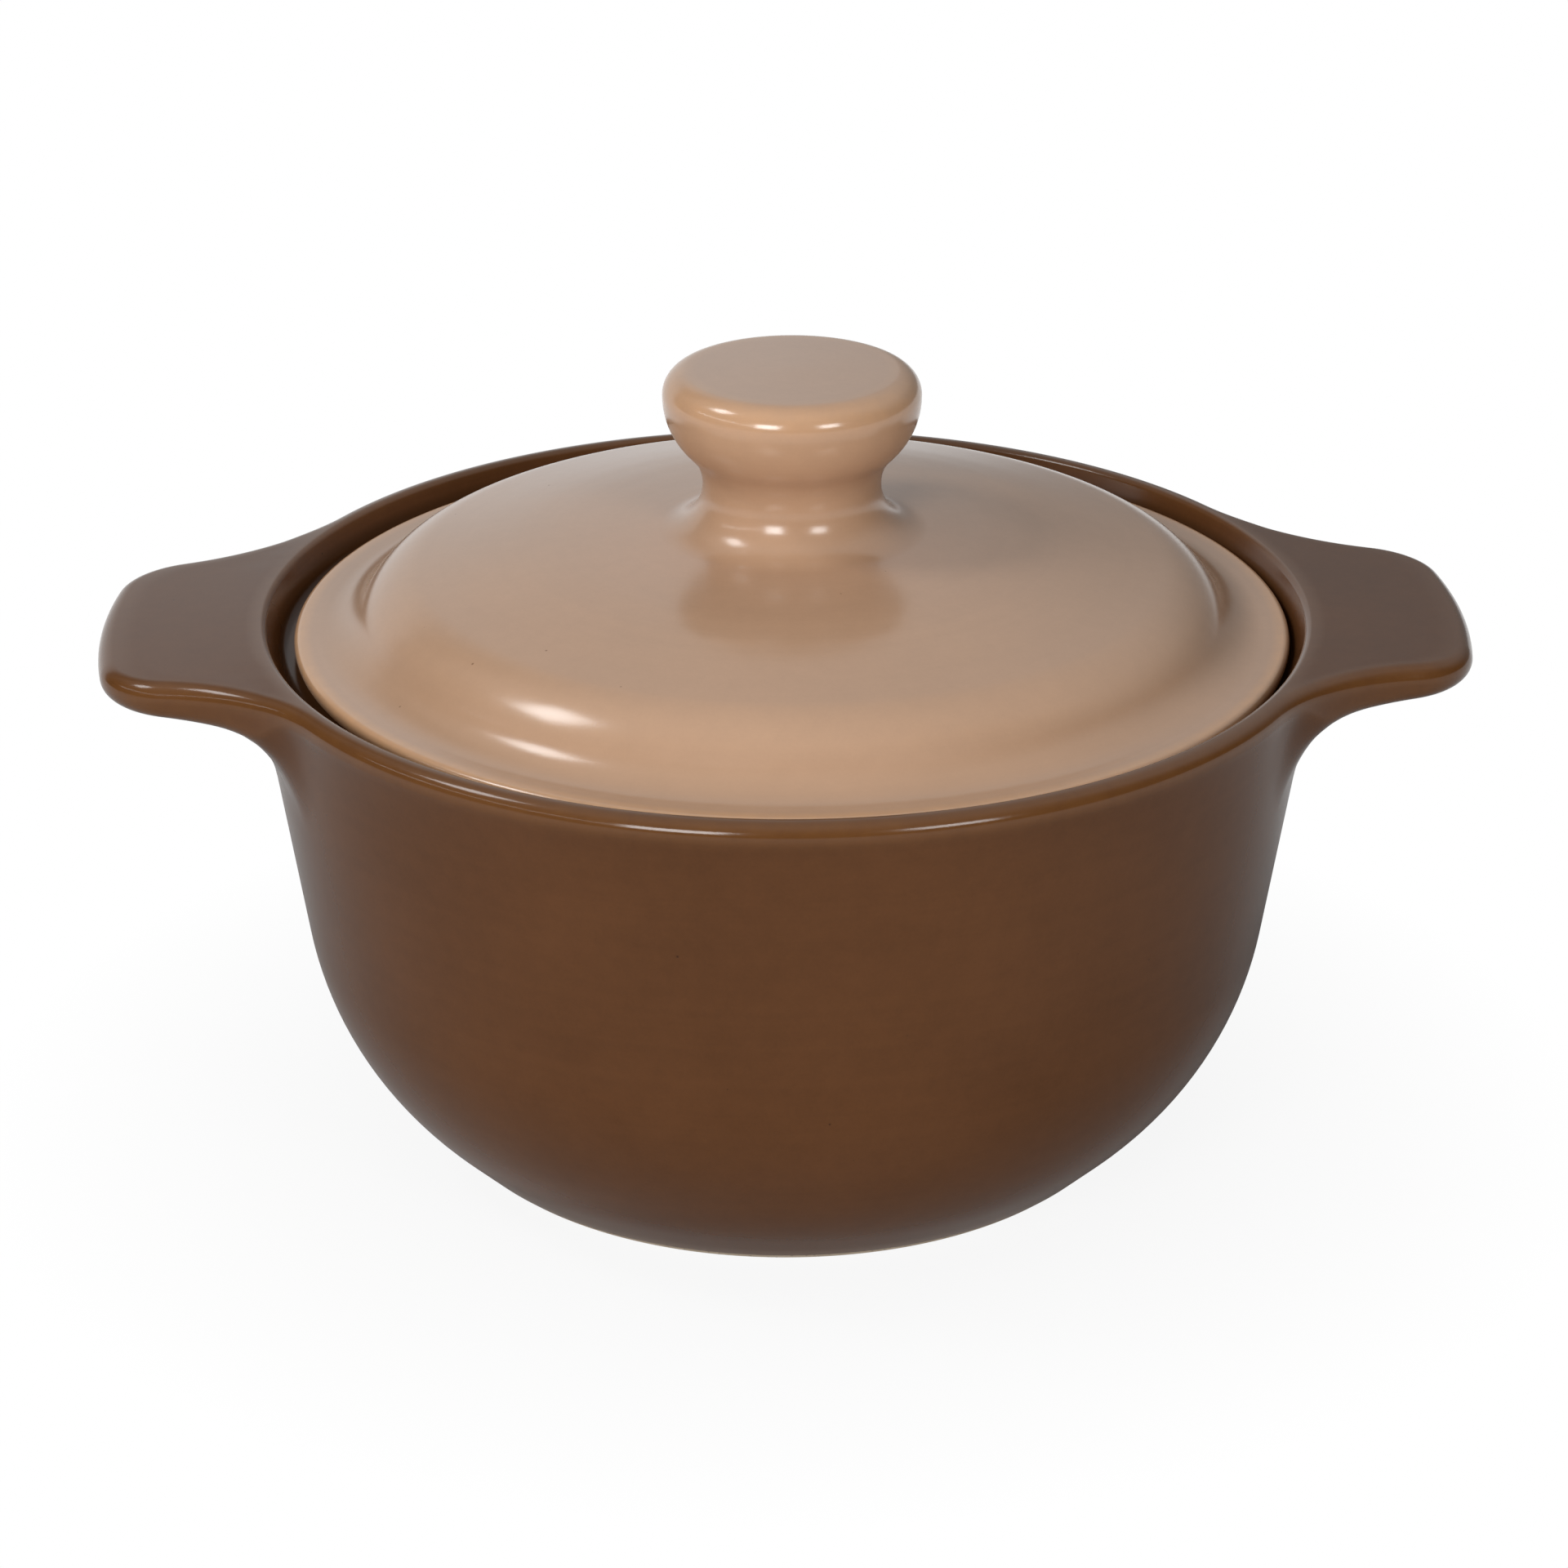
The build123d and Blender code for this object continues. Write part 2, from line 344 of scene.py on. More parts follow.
class TurningTree:
    """Geometry nodes that turn a profile about an upright axis, as a wheel does."""

    wander_scale = 16.0
    wander_detail = 1.0

    def __init__(self) -> None:
        """Build the tree once, for every turned piece."""
        self.tree = bpy.data.node_groups.new("turned_on_the_wheel", "GeometryNodeTree")
        self.tree.is_modifier = True
        kinds = {
            "Profile": "NodeSocketGeometry",
            "Segments": "NodeSocketInt",
            "Centre": "NodeSocketFloat",
            "Unevenness": "NodeSocketFloat",
            "Seed": "NodeSocketInt",
            "Finish": "NodeSocketMaterial",
        }
        self.sockets = {
            name: self.tree.interface.new_socket(name, in_out="INPUT", socket_type=kind).identifier
            for name, kind in kinds.items()
        }
        self.tree.interface.new_socket("Turned", in_out="OUTPUT", socket_type="NodeSocketGeometry")
        self._fill()

    def _fill(self) -> None:
        """Lay out the nodes: a grid, bent round the axis row by row, closed and dressed."""
        board = Board(self.tree)
        given = board.add("NodeGroupInput").outputs
        profile = given["Profile"]
        counts = board.add("GeometryNodeAttributeDomainSize", {"Geometry": profile}, component="MESH")
        rows = counts.outputs["Point Count"]
        columns = board.math("ADD", given["Segments"], 1)
        grid = board.add("GeometryNodeMeshGrid", {"Vertices X": columns, "Vertices Y": rows})
        index = board.add("GeometryNodeInputIndex").outputs[0]
        column = board.math("FLOOR", board.math("DIVIDE", index, rows))
        row = board.math("SUBTRACT", index, board.math("MULTIPLY", column, rows))

        def from_profile(value: bpy.types.NodeSocket, kind: str) -> bpy.types.NodeSocket:
            """Read a value of the profile at this vertex's row."""
            feeds = {"Geometry": profile, "Value": value, "Index": row}
            return board.add("GeometryNodeSampleIndex", feeds, data_type=kind, domain="POINT").outputs[0]

        place = from_profile(board.add("GeometryNodeInputPosition").outputs[0], "FLOAT_VECTOR")
        split = board.add("ShaderNodeSeparateXYZ", {0: place}).outputs
        angle = board.math("MULTIPLY", board.math("DIVIDE", column, given["Segments"]), math.tau)
        across = board.math("MULTIPLY", split["X"], board.math("COSINE", angle))
        deep = board.math("MULTIPLY", split["X"], board.math("SINE", angle))
        shifted = board.math("ADD", across, given["Centre"])
        target = board.add("ShaderNodeCombineXYZ", {"X": shifted, "Y": deep, "Z": split["Z"]}).outputs[0]
        made = grid.outputs["Mesh"]
        for name in ("edge", "turn"):
            value = board.add("GeometryNodeInputNamedAttribute", {"Name": name}, data_type="FLOAT")
            feeds = {"Geometry": made, "Name": name, "Value": from_profile(value.outputs[0], "FLOAT")}
            kept = board.add("GeometryNodeStoreNamedAttribute", feeds, data_type="FLOAT", domain="POINT")
            made = kept.outputs[0]
        made = board.add("GeometryNodeSetPosition", {"Geometry": made, "Position": target}).outputs[0]
        made = board.add("GeometryNodeMergeByDistance", {"Geometry": made, "Distance": 2 * WELD}).outputs[0]
        feeds = {"W": given["Seed"], "Scale": self.wander_scale, "Detail": self.wander_detail}
        wander = board.add("ShaderNodeTexNoise", feeds, noise_dimensions="4D").outputs[0]
        push = board.math("MULTIPLY", board.math("SUBTRACT", wander, 0.5), given["Unevenness"])
        facing = board.add("GeometryNodeInputNormal").outputs[0]
        feeds = {"Geometry": made, "Offset": board.scaled(facing, push)}
        made = board.add("GeometryNodeSetPosition", feeds).outputs[0]
        made = board.add("GeometryNodeSetShadeSmooth", {"Geometry": made}).outputs[0]
        made = board.add("GeometryNodeRealizeInstances", {"Geometry": made}).outputs[0]
        dressed = board.add("GeometryNodeSetMaterial", {"Geometry": made, "Material": given["Finish"]})
        board.add("NodeGroupOutput", {0: dressed.outputs[0]})

    def turn(
        self, name: str, profile: np.ndarray, finish: bpy.types.Material, **sizes: float
    ) -> bpy.types.Object:
        """Turn a profile into a closed piece.

        Args:
            name: the piece's name.
            profile: (radius, height) of each point in millimetres.
            finish: the material that it gets.
            sizes: the tree's other inputs by name, lengths in metres.

        Returns:
            The piece as a plain mesh object at the origin.
        """
        points = np.column_stack([profile[:, 0], np.zeros(len(profile)), profile[:, 1]]) * MM
        line = bpy.data.meshes.new(name + "_profile")
        line.from_pydata(points.tolist(), [(i, i + 1) for i in range(len(points) - 1)], [])
        carry(line, "edge", profile_edges(profile))
        carry(line, "turn", travelled(points))
        blank = linked(name + "_blank", line)
        modifier = blank.modifiers.new("turning", "NODES")
        modifier.node_group = self.tree
        modifier[self.sockets["Finish"]] = finish
        for key, value in sizes.items():
            modifier[self.sockets[key]] = value
        graph = bpy.context.evaluated_depsgraph_get()
        mesh = bpy.data.meshes.new_from_object(
            blank.evaluated_get(graph), preserve_all_data_layers=True, depsgraph=graph
        )
        blank.modifiers.remove(modifier)
        bpy.data.objects.remove(blank)
        return placed(name, mesh)


def profile_edges(profile: np.ndarray) -> np.ndarray:
    """Find how edged or hollow a profile is at each point.

    Args:
        profile: (radius, height) of each point, with the clay to the right of the way along it.

    Returns:
        A weight from -1 in hollows to 1 on tight edges.
    """
    ways = np.diff(profile, axis=0)
    headings = np.unwrap(np.arctan2(ways[:, 1], ways[:, 0]))
    turns = np.zeros(len(profile))
    turns[1:-1] = -np.diff(headings)
    return edge_weight(turns, travelled(profile))


def placed(name: str, mesh: bpy.types.Mesh) -> bpy.types.Object:
    """Put a mesh in the scene at the origin, closed, smooth and with its faces outwards.

    Args:
        name: the piece's name.
        mesh: its mesh in metres.

    Returns:
        The object.
    """
    work = bmesh.new()
    work.from_mesh(mesh)
    bmesh.ops.remove_doubles(work, verts=work.verts, dist=WELD)
    bmesh.ops.recalc_face_normals(work, faces=work.faces)
    for face in work.faces:
        face.smooth = True
    work.to_mesh(mesh)
    work.free()
    mesh.name = name
    return linked(name, mesh)


@dataclass(frozen=True)
class Glaze:
    """A satin glaze that thins on edges, pools in hollows and carries specks of iron.

    A span holds the two values of a noise or of the edge weight between which an effect grows. A tone
    is what a noise adds on the way from thick to thin, and a relief is what it adds to the bump.
    Scales are per metre, and the bump's depth is in metres.
    """

    slot: Slot
    thin: Colour
    thick: Colour
    edge: Colour
    hollow: Colour
    speck: Colour
    gloss: float
    specular: float
    edge_specular: float
    hollow_specular: float
    edge_share: float
    hollow_share: float = 0.55
    cloud: Noise = Noise(26.0, 4.0, 0.55)
    mottle: Noise = Noise(260.0, 3.0, 0.6)
    grain: Noise = Noise(1500.0, 2.0, 0.6)
    rings: Noise = Noise(420.0, 3.0, 0.6)
    ring_stretch: float = 0.02
    noise_span: Span = (0.3, 0.7)
    cloud_tone: float = 0.5
    mottle_tone: float = 0.2
    grain_tone: float = 0.2
    grain_tone_span: Span = (0.25, 0.75)
    ring_tone: float = 0.15
    worn_span: Span = (0.1, 0.9)
    worn_mottle_span: Span = (0.25, 0.7)
    worn_least: float = 0.6
    # Edge weights over which the pooled colour grows, which also carries the bowl's painted inside shade
    pool_and_shade_span: Span = (-0.08, -0.7)
    speck_scale: float = 210.0
    speck_rarity: float = 0.78
    speck_size: float = 0.075
    speck_blur: float = 0.03
    speck_share: float = 0.75
    cloud_gloss: Span = (-0.02, 0.03)
    grain_gloss: Span = (-0.02, 0.02)
    grain_gloss_span: Span = (0.2, 0.8)
    edge_gloss: float = -0.03
    shine_span: Span = (0.15, 0.9)
    dull_span: Span = (-0.1, -0.7)
    grain_relief: float = 0.10
    mottle_relief: float = 0.35
    ring_relief: float = 0.35
    speck_relief: float = -0.25
    bump_strength: float = 0.5
    bump_depth: float = 0.00004

    def material(self) -> bpy.types.Material:
        """Build the node material.

        Returns:
            The material, named for its slot.
        """
        made = bpy.data.materials.new(self.slot.value)
        board = emptied(made)
        place = board.add("ShaderNodeTexCoord").outputs["Object"]
        edge = board.attribute("edge")
        cloud = board.noise(place, self.cloud)
        mottle = board.noise(place, self.mottle)
        grain = board.noise(place, self.grain)
        around = board.scaled(place, self.ring_stretch)
        along = board.add("ShaderNodeCombineXYZ", {"X": board.attribute("turn")}).outputs[0]
        lathe = board.add("ShaderNodeVectorMath", {0: around, 1: along}, operation="ADD").outputs[0]
        rings = board.noise(lathe, self.rings)

        tone = board.total(
            board.ranged(cloud, *self.noise_span, 0.0, self.cloud_tone),
            board.ranged(mottle, *self.noise_span, 0.0, self.mottle_tone),
            board.ranged(grain, *self.grain_tone_span, 0.0, self.grain_tone),
            board.ranged(rings, *self.noise_span, 0.0, self.ring_tone),
        )
        colour = board.mixed(tone, self.thick, self.thin)
        patchy = board.ranged(mottle, *self.worn_mottle_span, self.worn_least, 1.0)
        worn = board.math("MULTIPLY", board.ranged(edge, *self.worn_span), patchy)
        colour = board.mixed(board.math("MULTIPLY", worn, self.edge_share), colour, self.edge)
        # Concave turns take the pooled glaze colour; on the bowl the whole inside takes it too, as painted
        # shade
        pooled_and_shaded = board.ranged(edge, *self.pool_and_shade_span, 0.0, self.hollow_share)
        colour = board.mixed(pooled_and_shaded, colour, self.hollow)
        dots = board.add("ShaderNodeTexVoronoi", {"Vector": place, "Scale": self.speck_scale}).outputs
        rare = board.add("ShaderNodeSeparateColor", {0: dots["Color"]}).outputs[0]
        size = board.ranged(rare, self.speck_rarity, 1.0, 0.0, self.speck_size)
        within = board.math("SUBTRACT", size, dots["Distance"])
        speck = board.ranged(within, 0.0, self.speck_blur, 0.0, self.speck_share)
        colour = board.mixed(speck, colour, self.speck)

        smoother, rougher = self.cloud_gloss
        rough = board.total(
            board.ranged(cloud, *self.noise_span, self.gloss + smoother, self.gloss + rougher),
            board.ranged(grain, *self.grain_gloss_span, *self.grain_gloss),
            board.ranged(edge, 0.0, 1.0, 0.0, self.edge_gloss),
        )
        shine = board.ranged(edge, *self.shine_span, self.specular, self.edge_specular)
        dulled = board.ranged(edge, *self.dull_span, 0.0, self.specular - self.hollow_specular)
        height = board.total(
            board.math("MULTIPLY", grain, self.grain_relief),
            board.math("MULTIPLY", mottle, self.mottle_relief),
            board.math("MULTIPLY", rings, self.ring_relief),
            board.math("MULTIPLY", speck, self.speck_relief),
        )
        mirror = board.math("SUBTRACT", shine, dulled)
        board.shade(colour, rough, mirror, height, self.bump_strength, self.bump_depth)
        return made


@dataclass(frozen=True)
class BareClay:
    """Unglazed stoneware, ground flat where it stands. Its values are named as a glaze's are."""

    slot: Slot
    pale: Colour
    dark: Colour
    grog: Colour
    cloud: Noise = Noise(60.0, 4.0, 0.6)
    grain: Noise = Noise(1800.0, 3.0, 0.65)
    noise_span: Span = (0.3, 0.7)
    cloud_tone: float = 0.6
    grain_tone: float = 0.4
    worn_span: Span = (0.2, 1.0)
    worn_share: float = 0.45
    grog_scale: float = 700.0
    grog_span: Span = (0.12, 0.2)
    grog_share: float = 0.6
    grog_relief: float = 0.5
    roughness: Span = (0.72, 0.92)
    roughness_span: Span = (0.2, 0.8)
    specular: float = 0.3
    bump_strength: float = 0.6
    bump_depth: float = 0.00015

    def material(self) -> bpy.types.Material:
        """Build the node material.

        Returns:
            The material, named for its slot.
        """
        made = bpy.data.materials.new(self.slot.value)
        board = emptied(made)
        place = board.add("ShaderNodeTexCoord").outputs["Object"]
        edge = board.attribute("edge")
        cloud = board.noise(place, self.cloud)
        grain = board.noise(place, self.grain)
        tone = board.total(
            board.ranged(cloud, *self.noise_span, 0.0, self.cloud_tone),
            board.ranged(grain, *self.noise_span, 0.0, self.grain_tone),
        )
        colour = board.mixed(tone, self.dark, self.pale)
        worn = board.ranged(edge, *self.worn_span, 0.0, self.worn_share)
        colour = board.mixed(worn, colour, self.pale)
        dots = board.add("ShaderNodeTexVoronoi", {"Vector": place, "Scale": self.grog_scale}).outputs
        grog = board.ranged(dots["Distance"], *self.grog_span, self.grog_share, 0.0)
        colour = board.mixed(grog, colour, self.grog)
        rough = board.ranged(grain, *self.roughness_span, *self.roughness)
        height = board.math("SUBTRACT", grain, board.math("MULTIPLY", grog, self.grog_relief))
        board.shade(colour, rough, self.specular, height, self.bump_strength, self.bump_depth)
        return made


def ring(radius: np.ndarray | float, height: np.ndarray | float, angle: np.ndarray) -> np.ndarray:
    """A row of points at a radius and height for each column's angle."""
    level = np.broadcast_to(height, angle.shape)
    return np.column_stack([radius * np.cos(angle), radius * np.sin(angle), level])


@dataclass(frozen=True)
class Brim:
    """The outline of the lip and handles seen from above, with values for each of its points.

    These are the points and their outward normals, how far each belongs to a handle by its form and by
    its depth, from 0 on the lip to 1, how squarely it faces away from the axis, and its upper rounding.
    """

    rim: np.ndarray
    facing: np.ndarray
    lug: np.ndarray
    deep: np.ndarray
    straight: np.ndarray
    top_round: np.ndarray

    @property
    def shelf(self) -> np.ndarray:
        """Points where the upper rounding starts."""
        return self.rim - self.facing * self.top_round[:, None]

    def row(self, inward: np.ndarray, height: np.ndarray) -> np.ndarray:
        """A row of points at a distance inwards from the outline."""
        return np.column_stack([self.rim - self.facing * inward[:, None], height])


@dataclass(frozen=True)
class Bowl:
    """The bowl with its lip, lid ledge and two lug handles, as one glazed skin."""

    # Foot, wall and floor
    foot_radius: float = 70.0
    foot_height: float = 3.0
    base_flare: float = 46.0
    belly_height: float = 24.0
    belly_round: float = 68.0
    wall_lean: float = 8.8
    wall_thickness: float = 6.3
    floor_height: float = 9.5
    floor_round: float = 10.0
    # Lower edge of the glaze
    glaze_line: float = 1.5
    glaze_coat: float = 0.45
    coat_round: float = 0.15
    coat_rise: float = 0.1
    # Lip
    pot_height: float = 111.2
    lip_overhang: float = 0.7
    lip_round: float = 3.0
    lip_depth: float = 3.9
    lip_under_round: float = 4.0
    lip_under_lean: float = 19.0
    lip_web_run: float = 6.0
    lip_web_drop: float = 8.0
    rim_width: float = 4.15
    # Throat and the ledge that carries the lid
    throat_round: float = 1.6
    throat_lean: float = 24.0
    # Painted shade of the inside: how far its edge weight is lowered, and the depth below the lip over
    # which this grows
    throat_shade: float = 0.8
    throat_shade_depth: float = 2.0
    gallery_depth: float = 7.0
    gallery_round: float = 3.0
    ledge_width: float = 8.6
    ledge_thickness: float = 2.8
    ledge_round: float = 1.0
    corbel_lean: float = 45.0
    corbel_round: float = 4.0
    # Handles, and the webs that carry them and the lip
    reach: float = 29.0
    tip_half: float = 31.0
    side_taper: float = 13.7
    corner_round: float = 16.5
    flare_round: float = 48.0
    top_step: float = 0.3
    top_step_run: float = 5.0
    top_droop: float = 3.2
    tip_thickness: float = 6.6
    under_slope: float = 3.6
    lug_round: float = 3.3
    lug_low_round: float = 3.8
    lug_draft: float = 10.0
    lug_growth: float = 13.0
    lug_deepening: float = 5.0
    least_side: float = 0.1
    web_run: float = 12.3
    web_drop: float = 18.8
    web_pull: float = 0.6
    web_room: float = 0.95
    settling_rounds: int = 4
    # Spacing of the outline's points, steps of the sections' roundings and runs, and rows of the skin
    tip_spacing: float = 2.4
    corner_spacing: float = 1.2
    side_spacing: float = 2.0
    flare_spacing: float = 1.7
    lip_spacing: float = 2.8
    inside_arc: float = 9.0
    inside_run: float = 7.0
    base_arc: float = 2.0
    base_run: float = 6.0
    crown_shares: tuple[float, ...] = (0.12, 0.3, 0.55, 0.8)
    upper_rows: int = 11
    side_shares: tuple[float, ...] = (0.33, 0.67, 1.0)
    lower_rows: int = 8
    under_rows: int = 8
    web_rows: int = 10
    wall_rows: int = 15

    def wall_radius(self, height: np.ndarray | float) -> np.ndarray | float:
        """Outer radius of the straight upper wall at a height."""
        belly = self.foot_radius + self.belly_height * lean(self.base_flare)
        return belly + (height - self.belly_height) * lean(self.wall_lean)

    @property
    def ledge_height(self) -> float:
        """Height of the ledge that the lid lies on."""
        return self.pot_height - self.gallery_depth

    @property
    def lip_radius(self) -> float:
        """Radius of the lip's widest ring."""
        return self.wall_radius(self.pot_height) + self.lip_overhang

    @property
    def tip_radius(self) -> float:
        """Distance of the handles' tips from the axis."""
        return self.lip_radius + self.reach

    @property
    def lip_under(self) -> float:
        """Turn of the lip's underside from level in radians."""
        return math.pi / 2 + math.radians(self.lip_under_lean)

    def quarter_outline(self) -> tuple[np.ndarray, np.ndarray]:
        """Trace the lip and handle seen from above, from the middle of a tip to the front of the lip.

        Returns:
            Points of the outline and its outward normals, for x and y of 0 or more.
        """
        taper = math.radians(self.side_taper)
        normal = np.array([math.sin(taper), math.cos(taper)])
        along = np.array([math.cos(taper), -math.sin(taper)])
        side = normal @ np.array([self.tip_radius, self.tip_half])

        def centre_of(distance: float, offset: float) -> np.ndarray:
            """Centre that lies at a distance from the axis and at an offset from the side."""
            level = side + offset
            return normal * level + along * math.sqrt(distance**2 - level**2)

        corner = centre_of(self.tip_radius - self.corner_round, -self.corner_round)
        flare = centre_of(self.lip_radius + self.flare_round, self.flare_round)
        corner_angle = math.atan2(corner[1], corner[0])
        flare_angle = math.atan2(flare[1], flare[0])
        side_angle = math.atan2(normal[1], normal[0])
        points, normals = [], []

        def arc(
            middle: np.ndarray, radius: float, start: float, end: float, step: float, sign: float
        ) -> None:
            """Add an arc, its first point left to the piece before it.

            Args:
                middle: its centre.
                radius: its radius.
                start: angle where it starts in radians.
                end: angle where it ends.
                step: about how far its points are apart.
                sign: 1 if the clay is on the centre's side, otherwise -1.
            """
            count = max(2, round(abs(end - start) * radius / step))
            for k in range(1, count + 1):
                angle = start + (end - start) * k / count
                way = np.array([math.cos(angle), math.sin(angle)])
                points.append(middle + way * radius)
                normals.append(way * sign)

        points.append(np.array([self.tip_radius, 0.0]))
        normals.append(np.array([1.0, 0.0]))
        axis = np.zeros(2)
        arc(axis, self.tip_radius, 0.0, corner_angle, self.tip_spacing, 1.0)
        arc(corner, self.corner_round, corner_angle, side_angle, self.corner_spacing, 1.0)
        foot = corner + normal * self.corner_round
        top = flare - normal * self.flare_round
        steps = max(1, round(np.linalg.norm(top - foot) / self.side_spacing))
        for k in range(1, steps + 1):
            points.append(foot + (top - foot) * k / steps)
            normals.append(normal)
        arc(flare, self.flare_round, side_angle + math.pi, flare_angle + math.pi, self.flare_spacing, -1.0)
        arc(axis, self.lip_radius, flare_angle, math.pi / 2, self.lip_spacing, 1.0)
        return np.array(points), np.array(normals)

    def outline(self) -> tuple[np.ndarray, np.ndarray]:
        """Close the outline of the lip and both handles.

        Returns:
            Points of the outline and its outward normals, once round.
        """
        loops = []
        for quarter in self.quarter_outline():
            mirrored = quarter[-2::-1] * np.array([-1.0, 1.0])
            half = np.concatenate([quarter, mirrored])
            loops.append(np.concatenate([half, half[-2:0:-1] * np.array([1.0, -1.0])]))
        return loops[0], loops[1]

    def brim(self) -> Brim:
        """Sort the points of the outline into lip and handles.

        Returns:
            The outline with what each of its points needs.
        """
        rim, facing = self.outline()
        distance = np.linalg.norm(rim, axis=1)
        overhang = distance - self.lip_radius
        lug = smooth(overhang / self.lug_growth)
        return Brim(
            rim, facing, lug,
            deep=smooth(overhang / self.lug_deepening),
            straight=np.sum(rim * facing, axis=1) / distance,
            top_round=blend(self.lip_round, self.lug_round, lug),
        )

    def top_height(self, radius: np.ndarray) -> np.ndarray:
        """Find the height of the lip's crown and of the handles' tops.

        Args:
            radius: distance from the axis.

        Returns:
            The height there.
        """
        step = self.top_step * smooth((radius - self.lip_radius + self.lip_round) / self.top_step_run)
        droop = lean(self.top_droop) * np.maximum(radius - self.lip_radius, 0.0)
        return self.pot_height - step - droop

    def under_height(self, radius: np.ndarray) -> np.ndarray:
        """Height of the handles' undersides at a radius."""
        tip = self.top_height(np.array(self.tip_radius)) - self.tip_thickness
        return tip - (self.tip_radius - radius) * lean(self.under_slope)

    def inside_profile(self) -> np.ndarray:
        """Draw the section of the inside.

        Returns:
            Points (radius, height) from the middle of the floor up to the crown of the lip.
        """
        ledge = self.ledge_height
        throat_top = self.lip_radius - self.rim_width
        throat = throat_top - self.gallery_depth * lean(self.throat_lean)
        belly = self.wall_radius(self.belly_height)
        wall = (belly - self.wall_thickness / math.cos(math.radians(self.wall_lean)), self.belly_height)
        base = (belly - self.wall_thickness / math.cos(math.radians(self.base_flare)), self.belly_height)
        corbel = (throat - self.ledge_width, ledge - self.ledge_thickness)
        floor_edge = base[0] + (self.floor_height - base[1]) * lean(self.base_flare)
        belly_corner = crossing(base, self.base_flare, wall, self.wall_lean)
        corners = [
            (self.lip_radius, self.pot_height, 0.0),
            (throat_top, self.pot_height, self.throat_round),
            (throat, ledge, self.gallery_round),
            (throat - self.ledge_width, ledge, self.ledge_round),
            (*corbel, self.ledge_round),
            (*crossing(corbel, -self.corbel_lean, wall, self.wall_lean), self.corbel_round),
            (*belly_corner, self.belly_round - self.wall_thickness),
            (floor_edge, self.floor_height, self.floor_round),
            (0.0, self.floor_height, 0.0),
        ]
        return divided(rounded_section(corners, self.inside_arc)[1:], self.inside_run)[::-1]

    def base_profile(self) -> np.ndarray:
        """Draw the lower section of the outside.

        Returns:
            Points (radius, height) from the top of the belly's curve to the middle of the base.
        """
        edge = self.foot_radius + self.glaze_line * lean(self.base_flare)
        inner = self.foot_radius + self.foot_height * lean(self.base_flare) - 2 * self.glaze_coat
        corners = [
            (self.wall_radius(self.pot_height), self.pot_height, 0.0),
            (self.wall_radius(self.belly_height), self.belly_height, self.belly_round),
            (edge, self.glaze_line, self.coat_round),
            (edge - self.glaze_coat, self.glaze_line + self.coat_rise, 0.0),
            (inner, self.foot_height, 0.0),
            (0.0, self.foot_height, 0.0),
        ]
        return divided(rounded_section(corners, self.base_arc)[1:], self.base_run)

    def inside_rings(self, brim: Brim) -> list[np.ndarray]:
        """Rows from the middle of the inside up to the lip and over its crown.

        Args:
            brim: the outline of the lip and handles.

        Returns:
            The rows, the last one just short of where the edge starts to round.
        """
        reach = np.linalg.norm(brim.shelf, axis=1)
        angle = np.arctan2(brim.shelf[:, 1], brim.shelf[:, 0])
        inside = self.inside_profile()
        rows = [ring(radius, height, angle) for radius, height in inside]
        for share in self.crown_shares:
            radius = blend(inside[-1][0], reach, share)
            rows.append(ring(radius, self.top_height(radius), angle))
        return rows

    def edge_rings(self, brim: Brim) -> list[np.ndarray]:
        """Rows round the outer edge of the lip and handles.

        A turn is that of the surface in radians, 0 on a level top and a quarter on an upright side.

        Args:
            brim: the outline of the lip and handles.

        Returns:
            The rows, the last one where the underside starts.
        """
        low_round = blend(self.lip_under_round, self.lug_low_round, brim.lug)
        start = np.arctan(lean(self.top_droop) * brim.straight) * brim.lug
        side = math.pi / 2 + math.radians(self.lug_draft) * brim.lug
        under_lug = math.pi - np.arctan(lean(self.under_slope) * brim.straight)
        under = blend(self.lip_under, under_lug, brim.lug)
        top = self.top_height(np.linalg.norm(brim.shelf, axis=1))

        def upper(turn: np.ndarray) -> np.ndarray:
            """Distance inwards and height on the upper rounding."""
            fall = brim.top_round * (np.cos(start) - np.cos(turn))
            return np.stack([brim.top_round * (1 - np.sin(turn)), top - fall])

        def lower(turn: np.ndarray) -> np.ndarray:
            """Way inwards and up on the lower rounding from its start."""
            return low_round * np.stack([np.sin(side) - np.sin(turn), np.cos(turn) - np.cos(side)])

        edge = upper(side)
        down = -np.stack([np.cos(side), np.sin(side)])
        depth = self.lip_depth
        for _ in range(self.settling_rounds):
            rest = depth - (top - edge[1] - lower(under)[1])
            run = np.maximum(rest / np.sin(side), self.least_side)
            foot = brim.row(*(edge + run * down + lower(under)))
            under_height = self.under_height(np.linalg.norm(foot[:, :2], axis=1))
            depth = blend(self.lip_depth, top - under_height, brim.deep)
        places = [upper(blend(start, side, share)) for share in np.linspace(0.0, 1.0, self.upper_rows)]
        places += [edge + run * share * down for share in self.side_shares]
        corner = edge + run * down
        places += [corner + lower(blend(side, under, share)) for share in shares(self.lower_rows)]
        return [brim.row(*place) for place in places]

